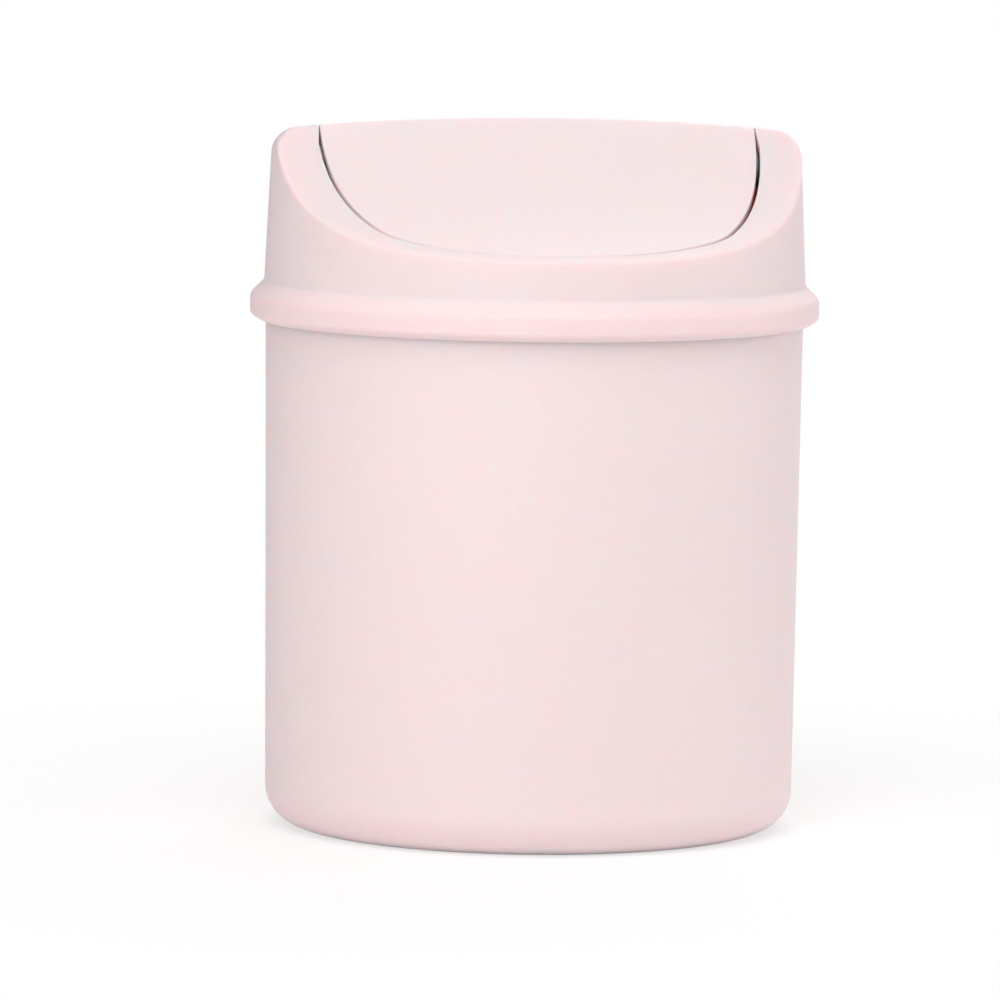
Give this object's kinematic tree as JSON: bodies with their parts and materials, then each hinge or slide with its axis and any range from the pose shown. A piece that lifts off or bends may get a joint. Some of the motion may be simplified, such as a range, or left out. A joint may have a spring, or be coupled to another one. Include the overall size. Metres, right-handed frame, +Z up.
{
  "type": "countertop trash can with swing lid",
  "caption": "Small round plastic countertop bin: a straight bucket under a lift-off lid with a rim band, raised shoulders and a saddle-shaped flap that swings both ways.",
  "frame": {"origin": "centre of the flat foot, on the surface the bin stands on", "axes": "+Z up; the hinge line and the ridge run along X; the front that faces the user is -Y"},
  "size_m": [0.131, 0.131, 0.1635],
  "materials": {
    "bin_plastic": "pale pink moulded polypropylene, satin",
    "lid_plastic": "pale pink moulded polypropylene, satin",
    "flap_plastic": "pale pink moulded polypropylene, satin"
  },
  "bodies": {
    "bin": {"bin_body": "bin_plastic"},
    "lid": {"lid_frame": "lid_plastic"},
    "flap": {"swing_flap": "flap_plastic"}
  },
  "joints": [
    {"name": "lid_lift", "type": "slide", "parent": "bin", "child": "lid", "axis": [0, 0, 1], "range_m": [0, 0.06]},
    {"name": "flap_swing", "type": "hinge", "parent": "lid", "child": "flap", "pos_m": [0, 0, 0.1525], "axis": [1, 0, 0], "range_deg": [-70, 70]}
  ]
}
